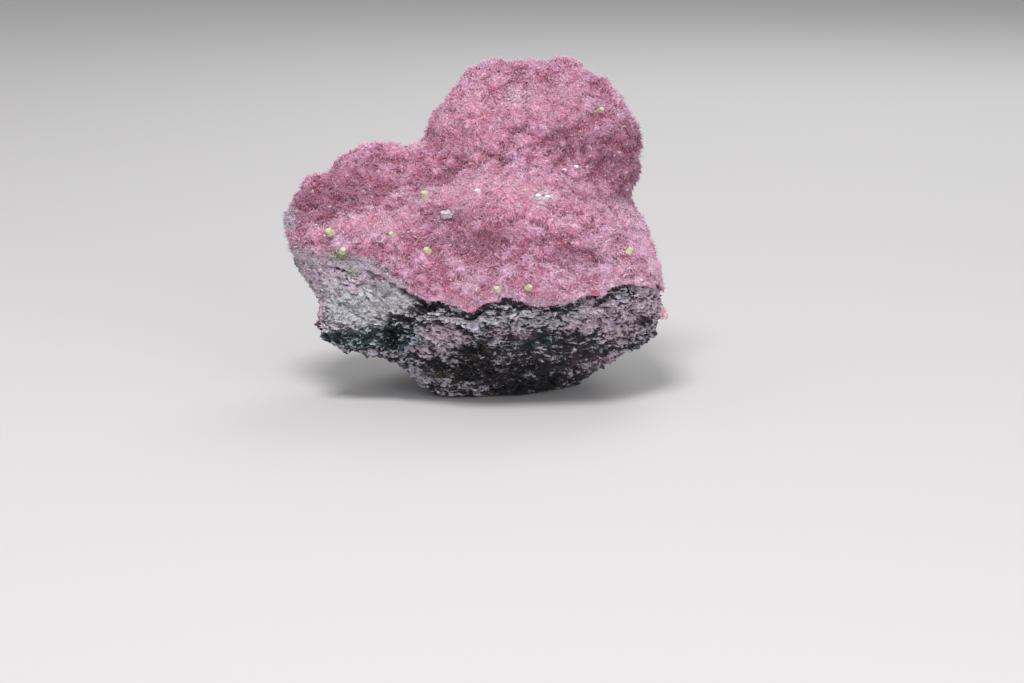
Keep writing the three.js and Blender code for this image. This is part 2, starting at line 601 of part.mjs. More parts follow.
// Brings the origin under the middle of the specimen.
const box = new THREE.Box3().setFromObject(specimen);
specimen.position.set(-(box.min.x + box.max.x) / 2, -(box.min.y + box.max.y) / 2, -box.min.z);

export default specimen;
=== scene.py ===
"""Axinite specimen: pink crystals grown over a broken grey matrix, on a pale floor.

Metres, +Z up, display side towards -Y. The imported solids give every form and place. Here the
matrix gets its broken, layered surface, and the crust a ground with many fine needles on it.
"""

import itertools
import math

import bmesh
import bpy
import numpy as np
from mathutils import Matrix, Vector
from mathutils.bvhtree import BVHTree
from mathutils.kdtree import KDTree


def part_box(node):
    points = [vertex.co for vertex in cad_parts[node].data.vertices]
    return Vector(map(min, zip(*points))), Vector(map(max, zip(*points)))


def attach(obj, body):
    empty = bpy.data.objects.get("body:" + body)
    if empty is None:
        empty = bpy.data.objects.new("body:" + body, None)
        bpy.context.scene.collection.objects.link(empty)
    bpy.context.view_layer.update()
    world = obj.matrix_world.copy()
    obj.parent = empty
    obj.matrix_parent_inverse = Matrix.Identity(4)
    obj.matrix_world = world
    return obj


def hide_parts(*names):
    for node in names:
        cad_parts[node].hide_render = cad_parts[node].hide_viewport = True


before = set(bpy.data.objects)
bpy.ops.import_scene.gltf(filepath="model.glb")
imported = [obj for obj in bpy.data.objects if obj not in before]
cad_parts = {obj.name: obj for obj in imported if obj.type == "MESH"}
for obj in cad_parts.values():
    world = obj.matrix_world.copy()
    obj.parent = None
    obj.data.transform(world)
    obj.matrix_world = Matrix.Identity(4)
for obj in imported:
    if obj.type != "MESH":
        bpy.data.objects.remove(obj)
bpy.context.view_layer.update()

MM = 0.001
rng = np.random.default_rng(12)
SEED_GRID = 0.01 * MM  # the seeds of cells are told apart on a grid this fine

# ---------------------------------------------------------------- camera, light and floor

CAMERA_PLACE = (12.7 * MM, -844.6 * MM, 192.9 * MM)
CAMERA_DOWN = math.radians(12)
LENS, SENSOR = 93.2, 36  # the focal length and the sensor's width, in millimetres
CLIP = (0.05, 50)  # metres

FLOOR_SIZE = 12
FLOOR_COLOUR = (0.66, 0.655, 0.65, 1)
WORLD_COLOUR = (0.93, 0.92, 0.94, 1)
WORLD_STRENGTH = 0.43
# Place, width, watts, colour: a soft key high in front, a weak fill and a light from behind.
LAMPS = {
    "key": ((-0.15, -0.50, 1.10), 0.40, 9.2, (1.0, 0.98, 0.98)),
    "fill": ((0.60, -1.00, 0.28), 0.70, 5.5, (0.98, 0.97, 1.0)),
    "back": ((0.30, 0.90, 0.80), 0.60, 3.5, (1.0, 1.0, 1.0)),
}
LAMPS_LOOK_AT = Vector((0, 0, 50 * MM))
GLINT = np.array((-0.089, -0.795, 0.6))  # a face this way reflects the key on the display side


def make_camera():
    data = bpy.data.cameras.new("camera")
    data.sensor_width = SENSOR
    data.lens = LENS
    data.clip_start, data.clip_end = CLIP
    camera = bpy.data.objects.new("camera", data)
    camera.location = CAMERA_PLACE
    camera.rotation_euler = (math.pi / 2 - CAMERA_DOWN, 0, 0)
    bpy.context.scene.collection.objects.link(camera)
    bpy.context.scene.camera = camera


def make_lamp(name, place, width, watts, colour):
    data = bpy.data.lights.new(name, "AREA")
    data.size, data.energy, data.color = width, watts, colour
    lamp = bpy.data.objects.new(name, data)
    lamp.location = place
    lamp.rotation_euler = (LAMPS_LOOK_AT - Vector(place)).to_track_quat("-Z", "Y").to_euler()
    bpy.context.scene.collection.objects.link(lamp)


def make_world():
    world = bpy.data.worlds.new("studio")
    world.use_nodes = True
    background = world.node_tree.nodes["Background"]
    background.inputs["Color"].default_value = WORLD_COLOUR
    background.inputs["Strength"].default_value = WORLD_STRENGTH
    bpy.context.scene.world = world


# ---------------------------------------------------------------- numbers


def hashed(cells, seed):
    """A number from 0 to 1 for each row of three whole numbers, always the same one.

    The factors are large odd numbers, so that cells side by side get unlike numbers.
    """
    x, y, z = (cells[:, k].astype(np.int64).astype(np.uint32) for k in range(3))
    mixed = x * np.uint32(374761393) ^ y * np.uint32(668265263) ^ z * np.uint32(2147483549)
    mixed = mixed + np.full(1, seed * 40503 + 17, np.uint32) * np.uint32(2246822519)
    for shift, factor in ((15, 2654435761), (13, 1274126177), (16, 2246822519)):
        mixed = (mixed ^ (mixed >> np.uint32(shift))) * np.uint32(factor)
    return (mixed ^ (mixed >> np.uint32(14))) / 2**32


def noise(points, cell, seed=0):
    """Smooth noise from -1 to 1 that varies over about one cell, which may have three sizes."""
    place = points / (np.asarray(cell) * MM)
    low = np.floor(place)
    share = place - low
    share = share * share * (3 - 2 * share)
    total = np.zeros(len(points))
    for corner in itertools.product((0, 1), repeat=3):
        weight = np.prod(np.where(corner, share, 1 - share), axis=1)
        total += weight * hashed(low + corner, seed)
    return 2 * total - 1


def rough(points, cell, seed=0, octaves=3):
    """Noise with finer and weaker noise on it."""
    cell = np.asarray(cell, float)
    parts = [noise(points, cell / 2**k, seed + k) / 2**k for k in range(octaves)]
    return sum(parts) / 1.5


def creased(points, cell, seed=0, octaves=3):
    """From 0 in sharp creases to 1, with finer creases between them."""
    cell = np.asarray(cell, float)
    parts = [np.abs(noise(points, cell / 1.9**k, seed + k)) / 1.8**k for k in range(octaves)]
    return np.clip(1.5 * sum(parts) / 1.9, 0, 1)


def warped(points, cell, amount, seed):
    """The points, each strayed by up to about an amount in millimetres."""
    stray = np.stack([rough(points, cell, seed + k) for k in range(3)], axis=1)
    return points + amount * MM * stray


def nearest_seed(points, cell, seed=0):
    """The nearest of scattered seeds to each point, and the cells from there to it and the next."""
    place = points / (cell * MM)
    low = np.floor(place)
    first = np.full(len(points), np.inf)
    second = first.copy()
    nearest = place.copy()
    for step in itertools.product((-1, 0, 1), repeat=3):
        cells = low + step
        there = cells + np.stack([hashed(cells, seed + k) for k in range(3)], axis=1)
        away = np.linalg.norm(there - place, axis=1)
        nearer = away < first
        second = np.where(nearer, first, np.minimum(second, away))
        nearest[nearer] = there[nearer]
        first = np.where(nearer, away, first)
    return nearest * cell * MM, first, second


def facets(points, cell, seed=0):
    """Broken faces from about -1 to 1, each flat, with its own height and tilt."""
    nearest = nearest_seed(points, cell, seed)[0]
    key = np.floor(nearest / SEED_GRID)
    tilt = np.stack([2 * hashed(key, seed + k) - 1 for k in range(3)], axis=1)
    level = hashed(key, seed + 3) - 0.5
    return level + np.einsum("ij,ij->i", tilt, points - nearest) / (cell * MM)


def ramp(value, low, high):
    """From 0 at low to 1 at high, smoothly; low may be the greater."""
    share = np.clip((value - low) / (high - low), 0, 1)
    return share * share * (3 - 2 * share)


def unit(vectors):
    return vectors / np.maximum(np.linalg.norm(vectors, axis=1, keepdims=True), 1e-12)


def spots(points, places, blur=0.5):
    """How far each point lies within spots of (place, radii) in millimetres, from 0 to 1."""
    within = np.zeros(len(points))
    for place, radii in places:
        away = np.linalg.norm((points / MM - place) / radii, axis=1)
        within = np.maximum(within, ramp(away, 1 + blur, 1 - blur))
    return within


# ---------------------------------------------------------------- meshes


class Surface:
    """A mesh's corners, their normals and its triangles, as arrays."""

    def __init__(self, mesh):
        count = len(mesh.vertices)
        self.points = np.empty(count * 3)
        mesh.vertices.foreach_get("co", self.points)
        self.points = self.points.reshape(-1, 3)
        self.normals = np.empty(count * 3)
        mesh.vertex_normals.foreach_get("vector", self.normals)
        self.normals = self.normals.reshape(-1, 3)
        mesh.calc_loop_triangles()
        self.triangles = np.empty(len(mesh.loop_triangles) * 3, np.int32)
        mesh.loop_triangles.foreach_get("vertices", self.triangles)
        self.triangles = self.triangles.reshape(-1, 3)

    def tree(self):
        return BVHTree.FromPolygons(self.points.tolist(), self.triangles.tolist())


def nearest_on(tree, points):
    """The nearest place of a tree to each point, and the distance to it."""
    found = [tree.find_nearest(Vector(p)) for p in points]
    return np.array([f[0] for f in found]), np.array([f[3] for f in found])


def distance_to(places, points):
    """The distance from each point to the nearest of the places."""
    tree = KDTree(len(places))
    for number, place in enumerate(places):
        tree.insert(place, number)
    tree.balance()
    return np.array([tree.find(point)[2] for point in points])


def copy_of(node, name):
    made = bpy.data.objects.new(name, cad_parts[node].data.copy())
    made.data.materials.clear()
    bpy.context.scene.collection.objects.link(made)
    return made


def apply_modifiers(piece):
    evaluated = piece.evaluated_get(bpy.context.evaluated_depsgraph_get())
    mesh = bpy.data.meshes.new_from_object(evaluated)
    piece.modifiers.clear()
    piece.data = mesh


def remesh(piece, voxel):
    change = piece.modifiers.new("remesh", "REMESH")
    change.mode = "VOXEL"
    change.voxel_size = voxel
    change.use_smooth_shade = False
    apply_modifiers(piece)


def split_faces(piece, chosen):
    """Splits the chosen faces in four. chosen is a function of a Surface, for its corners."""
    keep = chosen(Surface(piece.data))
    mesh = bmesh.new()
    mesh.from_mesh(piece.data)
    edges = [edge for edge in mesh.edges if all(keep[v.index] for v in edge.verts)]
    bmesh.ops.subdivide_edges(mesh, edges=edges, cuts=1, use_grid_fill=True)
    bmesh.ops.triangulate(mesh, faces=[face for face in mesh.faces if len(face.verts) > 4])
    mesh.to_mesh(piece.data)
    mesh.free()


def move_corners(piece, points):
    piece.data.vertices.foreach_set("co", points.ravel())
    piece.data.update()


def set_values(piece, **values):
    """Gives every corner of a piece the named numbers, for its material."""
    for name, value in values.items():
        attribute = piece.data.attributes.new(name, "FLOAT", "POINT")
        corners = np.broadcast_to(value, len(piece.data.vertices))
        attribute.data.foreach_set("value", corners.astype(np.float32))


def finish_piece(piece, material, slot, *nodes):
    piece.data.materials.append(material)
    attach(piece, "root")
    if nodes:
        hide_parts(*nodes)


# ---------------------------------------------------------------- materials

MIX_COLOURS, MIX_RESULT = (6, 7), 2  # the sockets of a Mix node that are for colours


class Paint:
    """A material whose nodes are made by calls that return their output sockets."""

    def __init__(self, name, **fixed):
        self.material = bpy.data.materials.new(name)
        self.material.use_nodes = True
        self.tree = self.material.node_tree
        self.shader = self.tree.nodes["Principled BSDF"]
        for socket, value in fixed.items():
            self.shader.inputs[socket.replace("_", " ")].default_value = value
        self.place = self.tree.nodes.new("ShaderNodeTexCoord").outputs["Object"]

    def node(self, kind, inputs, **settings):
        made = self.tree.nodes.new("ShaderNode" + kind)
        for setting, value in settings.items():
            setattr(made, setting, value)
        for socket, value in inputs.items():
            self.feed(made.inputs[socket], value)
        return made

    def feed(self, socket, value):
        if isinstance(value, bpy.types.NodeSocket):
            self.tree.links.new(value, socket)
        else:
            socket.default_value = value

    def attribute(self, name):
        return self.node("Attribute", {}, attribute_name=name).outputs["Fac"]

    def noise(self, cell, detail=3, roughness=0.6, warp=0.0):
        """Noise from 0 to 1 with features about one cell wide, in millimetres, or three sizes."""
        sizes = np.broadcast_to(cell, 3)
        scale = tuple(1 / (size * MM) for size in sizes)
        scaled = self.node("Mapping", {"Vector": self.place, "Scale": scale})
        inputs = {"Vector": scaled.outputs[0], "Scale": 1, "Detail": detail, "Roughness": roughness}
        return self.node("TexNoise", {**inputs, "Distortion": warp}).outputs["Fac"]

    def contour(self, value, width):
        """From 0 to 1 in thin lines, where noise is near its mean."""
        return self.ramp(self.maths("ABSOLUTE", self.maths("SUBTRACT", value, 0.5)), width, 0.0)

    def times(self, a, b):
        return self.maths("MULTIPLY", a, b)

    def most(self, a, b):
        return self.maths("MAXIMUM", a, b)

    def plus(self, value, *terms):
        """A value plus (socket, share) terms."""
        for term, share in terms:
            value = self.maths("ADD", value, self.times(term, share))
        return value

    def ramp(self, value, low, high, start=0.0, end=1.0):
        inputs = {"Value": value, "From Min": low, "From Max": high, "To Min": start, "To Max": end}
        return self.node("MapRange", inputs, interpolation_type="SMOOTHSTEP").outputs["Result"]

    def maths(self, operation, a, b=0.0):
        return self.node("Math", {0: a, 1: b}, operation=operation).outputs[0]

    def mix(self, share, a, b, blend="MIX"):
        """From colour a to colour b, each a socket or three numbers."""
        made = self.node("Mix", {}, data_type="RGBA", blend_type=blend)
        self.feed(made.inputs["Factor"], share)
        for socket, value in zip(MIX_COLOURS, (a, b)):
            colour = value if isinstance(value, bpy.types.NodeSocket) else (*value, 1)
            self.feed(made.inputs[socket], colour)
        return made.outputs[MIX_RESULT]

    def bump(self, height, distance, strength=1.0):
        inputs = {"Height": height, "Distance": distance * MM, "Strength": strength}
        self.feed(self.shader.inputs["Normal"], self.node("Bump", inputs).outputs[0])

    def colour(self, value):
        self.feed(self.shader.inputs["Base Color"], value)

    def roughness(self, value):
        self.feed(self.shader.inputs["Roughness"], value)


# ---------------------------------------------------------------- the matrix

ROCK_VOXEL = 1.55 * MM
COVERED = 0.45 * MM  # rock nearer the crust than this is under it
LAYER_DIP = np.array((0.10, -0.25, 1.0))  # across the layers of the rock
CREASE_DIP = np.array((0.45, 0.0, 1.0))  # across the creases of the pale part
LEFT_EDGE = (-16 * MM, -25 * MM)  # the crust ends without a step left of here
LEFT_LIFT = 2.1  # millimetres that the rock comes out there to meet the crust
LIFT_REACH = 5 * MM
CONTACT = 1.3 * MM  # needles close the seam between the crust and the rock within about this
RIDGE = 0.72 / MM  # the bend of a sharp ridge
# The relief of the rock starts and is full at these distances, and at these heights.
RELIEF_FROM_CRUST = (0.2 * MM, 1.4 * MM)
RELIEF_FROM_BASE = (0.2 * MM, 2.0 * MM)

# Patches on the bare matrix, each a place and its radii in millimetres.
PALE = [
    ((-36, -32, 32), (13, 8, 8)), ((-44, -30, 35), (8, 8, 8)), ((-24, -37, 33.5), (8, 8, 4)),
    ((-31, -35, 40), (13, 9, 5)), ((-20, -39, 36), (7, 6, 3)), ((-50, -24, 41), (11, 10, 6)),
]
# Black rock; the spots at (4, -46, 31.7) and (-14, -42, 33.5) are painted shadow under the crust's
# rim
BLACK = [
    ((1.5, -40, 18.5), (6, 9, 4)), ((-2, -34.5, 10), (13, 12, 4.5)),
    ((17.5, -33, 10.5), (12, 12, 4)), ((-14, -42, 33.5), (5, 5, 2.4)),
    ((-24.8, -36, 20.5), (3, 5, 2.6)), ((4, -46, 31.7), (6, 4, 0.8)), ((20, -20, 5), (20, 14, 6)),
]
# Lighter patches of rock, partly painted light where the crust's rim shades the rock
BRIGHT = [
    ((6, -46, 29), (26, 7, 2.9)), ((40, -38, 29.5), (12, 10, 4)), ((-9, -41, 23), (8, 8, 4.5)),
    ((-13, -30, 7), (9, 10, 3)), ((12, -41, 23.5), (6, 6, 2)), ((20, -46, 31), (14, 5, 1.5)),
    ((57, -21, 33), (8, 12, 5)), ((52, -28, 34), (8, 10, 4)), ((-8, -43, 30.5), (3, 5, 1.4)),
    ((34, -41, 31), (12, 6, 3)),
    ((-12, 45, 60), (26, 14, 12)), ((35, 35, 25), (16, 16, 9)), ((-30, 20, 25), (14, 16, 8)),
]
# Darker patches of rock, partly painted shade under the crust's rim
DIM = [
    ((24, -41, 22.5), (18, 8, 3.3)), ((36, -32, 16), (14, 12, 5)), ((-23, -39, 27), (9, 7, 2)),
    ((-42, -30, 21), (9, 9, 2.5)), ((-6, -44, 26.5), (14, 6, 0.9)),
    ((20, 45, 38), (24, 14, 10)), ((-45, 15, 40), (14, 16, 7)),
    ((55, -23, 24), (8, 8, 2.5)),
]
MAUVE = [
    ((-8, -42, 23), (9, 8, 4)), ((-13, -37, 17), (7, 8, 3)), ((38, -20, 9), (14, 14, 6)),
    ((50, -29, 27), (10, 9, 9)), ((14, -43, 24), (8, 6, 2)), ((-50, -26, 30), (6, 8, 6)),
    ((55, -25, 31), (6, 8, 7)), ((40, -38, 29), (10, 8, 5)), ((-48, -24, 41), (14, 10, 5)),
    ((-34, -32, 41), (10, 8, 3.5)), ((60, -16, 30), (6, 12, 9)), ((36, 40, 58), (20, 16, 14)),
    ((-8, 45, 22), (20, 16, 9)), ((-40, 25, 55), (16, 16, 8)), ((48, -32, 27), (12, 9, 6)),
]
BLUE = [
    ((-19, -36, 18), (8, 8, 5)), ((-17, -39, 23), (5, 6, 3)), ((20, -42, 22), (8, 6, 2.5)),
    ((-38, -30, 20), (12, 8, 4)), ((-28, -34, 21), (8, 8, 4)),
]
GREEN = [((-42, -30, 19), (6, 8, 4)), ((-7, -46, 31), (4, 4, 1.6)), ((-37, -33, 39), (3, 4, 1.8))]
OCHRE = [
    ((-20.5, -39, 33), (2.2, 4, 1.4)), ((-30, -34, 31), (7, 5, 3)), ((-46, -29, 37), (3, 5, 4)),
    ((47, -30, 22), (4, 6, 3)), ((34, -42, 31), (2, 4, 2)), ((-12, -33, 7), (5, 6, 3)),
]
# Golden specks, painted as glints along the ridges of the black rock
GOLDEN = [
    ((0, -36, 13), (11, 10, 6)), ((14, -35, 13), (8, 10, 4)), ((-8, -33, 9), (6, 8, 3)),
    ((-24.8, -36, 20.5), (4, 5, 3)),
]


def flattened(points, dip, long, thin):
    """The points squeezed so that noise on them streaks: long along the layers, thin across."""
    dip = dip / np.linalg.norm(dip)
    across = (points @ dip)[:, None] * dip
    return (points - across) / long + across / thin


def layered(points, pale, black):
    """How deep the rock breaks back, in millimetres, and from 0 to 1 how high each point stands."""
    bent = warped(points, 9, 2.2, 3)
    along, along_pale = flattened(bent, LAYER_DIP, 2.2, 1.0), flattened(bent, CREASE_DIP, 1.8, 1.0)
    ledges = creased(flattened(bent, LAYER_DIP, 6, 2.5), 1, 5)
    blocks = facets(along, 2.0, 9)
    chunks = facets(along, 3.2, 21)
    splinters = facets(along, 0.85, 12)
    crumbs = facets(along_pale, 0.9, 15)
    folds = creased(along_pale, 1.6, 18)
    dark_side = 0.3 + 1.3 * (1 - ledges) + 1.0 * blocks + 0.75 * splinters
    dark_side = dark_side + black * (0.3 + 1.0 * chunks)
    pale_side = 0.2 + 0.7 * (1 - folds) + 0.4 * blocks + 0.35 * crumbs
    dark_high = 0.5 * ledges + 0.5 - 0.7 * splinters
    pale_high = 0.5 * folds + 0.5 - 0.7 * crumbs
    # painted light and shade: the paint makes high points lighter and low points darker
    high = (1 - pale) * dark_high + pale * pale_high
    return dark_side + (pale_side - dark_side) * pale, np.clip(high, 0, 1)


def standing_out(piece, surface):
    """From -1 in creases to 1 on ridges, as each corner stands out of its neighbours."""
    edges = np.empty(len(piece.data.edges) * 2, np.int32)
    piece.data.edges.foreach_get("vertices", edges)
    here, there = np.concatenate([edges.reshape(-1, 2), edges.reshape(-1, 2)[:, ::-1]]).T
    apart = surface.points[here] - surface.points[there]
    total = np.stack([np.bincount(here, apart[:, k]) for k in range(3)], axis=1)
    bend = np.einsum("ij,ij->i", total, surface.normals) / np.bincount(here, (apart**2).sum(axis=1))
    return np.clip(bend / RIDGE, -1, 1)


def cracks(points):
    """From 0 to 1 in thin cracks between flakes of two sizes."""
    bent = flattened(warped(points, 5, 1.5, 40), CREASE_DIP, 1.7, 1.0)
    wide, fine = (nearest_seed(bent, size, 43 + size) for size in (3, 1))
    return np.maximum(ramp(wide[2] - wide[1], 0.10, 0.0), 0.7 * ramp(fine[2] - fine[1], 0.18, 0.0))


def make_matrix(crust_ground, crust_rim):
    """The broken rock, met by the made ground of the crust, which thins out at its rim points."""
    rock = copy_of("matrix", "matrix_rock")
    crust_tree = Surface(crust_ground.data).tree()
    to_camera = unit(np.array([CAMERA_PLACE]))[0]

    def bare(surface):
        return nearest_on(crust_tree, surface.points)[1] > COVERED

    def seen(surface):
        return bare(surface) & (surface.normals @ to_camera > 0.05)

    remesh(rock, ROCK_VOXEL)
    split_faces(rock, bare)
    split_faces(rock, seen)
    surface = Surface(rock.data)
    points, normals = surface.points, surface.normals
    to_crust = nearest_on(crust_tree, points)[1]
    open_air = ramp(to_crust, *RELIEF_FROM_CRUST)
    off_base = ramp(points[:, 2], *RELIEF_FROM_BASE)
    left = ramp(points[:, 0], *LEFT_EDGE)
    to_rim = distance_to(crust_rim, points)
    facing = ramp(normals @ to_camera, -0.3, 0.2)

    strayed = warped(points, 6, 3.5, 20)
    pale, black = spots(strayed, PALE), spots(strayed, BLACK)
    depth, high = layered(points, pale, black)
    depth += 0.12 * noise(points, 0.7, 12)
    outside = np.exp(-to_crust / LIFT_REACH) * ramp(to_crust, 0.05 * MM, 0.5 * MM)
    lift = LEFT_LIFT * left * np.maximum(outside, 0.5 * ramp(to_rim, 2.5 * MM, 1.0 * MM))
    moved = points + normals * ((lift - depth * open_air * off_base) * MM)[:, None]
    moved[:, 2] = np.maximum(moved[:, 2], 0)
    move_corners(rock, moved)
    broken = Surface(rock.data)
    grow_fade(broken, left * np.exp(-to_crust / CONTACT))
    # painted light: faces turned up by the breaking are painted lighter, faces turned down darker
    high = np.clip(high + 0.35 * (broken.normals[:, 2] - normals[:, 2]), 0, 1)
    set_values(
        rock,
        # high: painted light and shade by height and tilt, stronger on faces towards the camera
        high=0.5 + (high - 0.5) * (0.4 + 0.6 * facing),
        # edge: painted highlight on ridges and painted shade in creases
        edge=standing_out(rock, broken),
        crack=cracks(points),
        pale=pale,
        black=black,
        # bright: lighter and darker patches, partly painted light and painted shade
        bright=spots(strayed, BRIGHT) - spots(strayed, DIM),
        mauve=spots(strayed, MAUVE),
        blue=spots(strayed, BLUE),
        green=spots(strayed, GREEN),
        ochre=spots(strayed, OCHRE),
        golden=spots(strayed, GOLDEN),
    )
    finish_piece(rock, matrix_paint(), "matrix_rock", "matrix")


def matrix_paint():
    paint = Paint("matrix", Roughness=0.75)
    value, times, ramp_of, mix = paint.attribute, paint.times, paint.ramp, paint.mix
    flecks = paint.noise((2.4, 2.4, 0.8), 6, 0.75, 0.4)
    # painted highlights along thin ridge lines, and painted shade along thin crease lines
    ridge = paint.contour(paint.noise((2.4, 2.4, 0.9), 2, 0.6, 0.8), 0.07)
    crease = paint.contour(paint.noise((3.4, 3.4, 1.3), 2, 0.6, 0.8), 0.06)
    speck = paint.noise(0.5, 3, 0.65)
    tint = paint.noise((1.6, 1.6, 0.9), 3, 0.7)
    cloud = paint.noise((7, 7, 3), 5, 0.65, 0.5)
    grain = paint.noise((1.5, 1.5, 0.8), 4, 0.7, 0.4)
    patch = paint.noise((4, 4, 2), 2, 0.6, 0.6)
    pale, black, edge = (value(name) for name in ("pale", "black", "edge"))

    def much(name, share):
        """How much of a patch shows, with a border that follows the clouds."""
        return ramp_of(paint.plus(value(name), (cloud, 0.8)), 0.65, 1.15, 0.0, share)

    # how light the rock is, from 0 for its low colour to 1 for its top colour
    # painted light and shade: high points, ridges and bright patches lighter, creases and dim ones
    # darker
    light = paint.plus(flecks, (value("high"), 0.34), (cloud, 0.45))
    light = paint.maths("ADD", light, ramp_of(patch, 0.35, 0.65, -0.1, 0.17))
    light = paint.plus(light, (pale, 0.19), (value("mauve"), 0.06), (black, -0.22))
    light = ramp_of(paint.plus(light, (value("bright"), 0.15)), 0.90, 1.30)
    # painted highlights on ridges and painted shade in creases, from noise lines and the edge value
    line = paint.most(times(ridge, 0.5), ramp_of(edge, 0.1, 0.8))
    hollow = paint.most(times(crease, 0.5), ramp_of(edge, -0.1, -0.9))
    light = paint.maths("ADD", light, times(line, ramp_of(light, 0.0, 0.6, 0.08, 0.6)))
    light = paint.maths("SUBTRACT", light, times(hollow, ramp_of(pale, 0.0, 1.0, 0.4, 0.15)))

    low = mix(tint, (0.014, 0.012, 0.017), (0.045, 0.030, 0.042))
    top = mix(ramp_of(tint, 0.38, 0.62), (0.48, 0.52, 0.63), (0.84, 0.71, 0.84))
    low = mix(much("blue", 0.9), low, mix(tint, (0.006, 0.014, 0.020), (0.03, 0.055, 0.075)))
    top = mix(much("blue", 0.8), top, (0.26, 0.38, 0.48))
    low = mix(pale, low, mix(tint, (0.26, 0.27, 0.31), (0.36, 0.33, 0.36)))
    cream = mix(ramp_of(tint, 0.35, 0.65), (0.66, 0.70, 0.79), (0.80, 0.76, 0.80))
    top = mix(pale, top, cream)
    low = mix(much("mauve", 0.85), low, mix(pale, (0.09, 0.05, 0.08), (0.28, 0.20, 0.25)))
    rosy = mix(ramp_of(grain, 0.38, 0.62), (0.56, 0.34, 0.48), (1.0, 0.77, 0.94))
    top = mix(much("mauve", 0.85), top, rosy)
    low = mix(black, low, (0.004, 0.004, 0.005))
    top = mix(times(black, 0.6), top, (0.30, 0.31, 0.36))
    base = mix(light, low, top)

    # painted highlight: the ridges are painted in this paler colour
    bright = mix(0.5, top, (0.86, 0.86, 0.94))
    base = mix(times(line, ramp_of(light, 0.3, 0.9, 0.0, 0.8)), base, bright)
    ochre = times(value("ochre"), ramp_of(speck, 0.52, 0.64))
    base = mix(times(ochre, 0.6), base, (0.62, 0.55, 0.27))
    # painted glints: golden specks on the ridges
    golden = times(value("golden"), ramp_of(tint, 0.57, 0.63))
    base = mix(times(golden, ramp_of(edge, 0.1, 0.6)), base, (0.70, 0.60, 0.43))
    base = mix(much("green", 0.4), base, (0.22, 0.32, 0.20), "OVERLAY")
    # painted shade: thin cracks are painted near black
    base = mix(times(value("crack"), 0.45), base, (0.020, 0.018, 0.024))
    paint.colour(base)
    paint.roughness(ramp_of(black, 0.2, 0.9, 0.75, 0.35))
    height = paint.plus(flecks, (speck, 0.6), (ridge, 0.25), (crease, -0.25))
    paint.bump(height, 0.7, 0.9)
    return paint.material


# ---------------------------------------------------------------- the pink crust

GROUND_VOXEL = 1.5 * MM
RIM_THICKNESS = (2.6 * MM, 1.2 * MM)  # the crust is rim where it thins from one to the other
SINK = (0.4, 2.8)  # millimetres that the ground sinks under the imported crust, and more in valleys
MOST_SUNK = 0.65  # of the crust's thickness
# painted shade on the hidden inner face of the crust's ground
DULL_BACK = 0.85  # how dark the hidden inner face is
CLUMP = 6.0  # millimetres between clumps of tufts
TUFT, TUFT_SEED = 2.6, 31  # and between tufts of needles
SUNK = 0.3 * MM  # every crystal starts this far under what it grows on
OVER = 0.2 * MM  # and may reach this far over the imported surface
SHORTEST = 0.5 * MM
SHOULDER_WIDTH, SHOULDER_RISE = 0.8, 0.7  # of a prism, where its tip starts
UV_ROOT, UV_SHOULDER = 0.46, 0.22  # how far its corners lie from the middle of its UV cell
TOUCHING = 0.01 * MM  # the least thickness, so that nothing is divided by 0

# Kinds of crystals: the sides of the prism, lengths and widths in millimetres, the thickness as a
# share of the width, the tip as a share of the length, the share of them that lies flat across the
# others, and the share that is turned to glint.
FINE = {
    "sides": 1, "lengths": (0.6, 1.3), "widths": (0.18, 0.34), "flatness": 1, "tip": 1.0,
    "lying": 0.6,
}
LONG = {
    "sides": 3, "lengths": (1.2, 2.9), "widths": (0.18, 0.32), "flatness": 1, "tip": 0.35,
    "lying": 0.75,
}
BLADES = {
    "sides": 4, "lengths": (0.9, 2.0), "widths": (0.5, 1.0), "flatness": 0.3, "tip": 0.35,
    "lying": 0.5,
}
GROWTHS = {
    "pink_needles_1": {"count": 30000, **FINE},
    "pink_needles_2": {"count": 30000, **FINE},
    "pink_needles_3": {"count": 24000, **FINE},
    "pink_prisms_1": {"count": 12000, **LONG},
    "pink_prisms_2": {"count": 12000, **LONG},
    "pink_blades": {"count": 4000, **BLADES},
}
FADE_NEEDLES = {
    "count": 9000, "sides": 1, "lengths": (0.7, 1.6), "widths": (0.2, 0.36), "flatness": 1,
    "tip": 1.0, "lying": 0.6,
}
FLAKES = {
    "count": 520, "sides": 4, "lengths": (0.7, 1.1), "widths": (0.4, 0.6), "flatness": 0.25,
    "tip": 0.2, "lying": 0.5, "turned": 0.5,
}
GRAINS = {
    "count": 70, "sides": 5, "lengths": (0.8, 1.3), "widths": (0.6, 1.0), "flatness": 0.8,
    "tip": 0.5, "lying": 0.5,
}

# Places where the crust changes, each with its radii, in millimetres.
# Duskier crystals, partly painted shade in the hollows of the crust
DUSKY = [
    ((-54, -5, 60), (9, 10, 6)), ((-47, -5, 61), (11, 10, 5)), ((-38, -2, 63), (9, 9, 5)),
    ((2, -34, 53), (12, 7, 4)), ((-8, -25, 58), (7, 6, 3)), ((33, -32, 47), (10, 8, 3)),
    ((53, 14, 72), (6, 9, 13)), ((50, 10, 63), (6, 7, 6)), ((45, 8, 73), (8, 7, 7)),
    ((30, 6, 80), (8, 6, 4)), ((53, 18, 68), (7, 12, 12)),
]
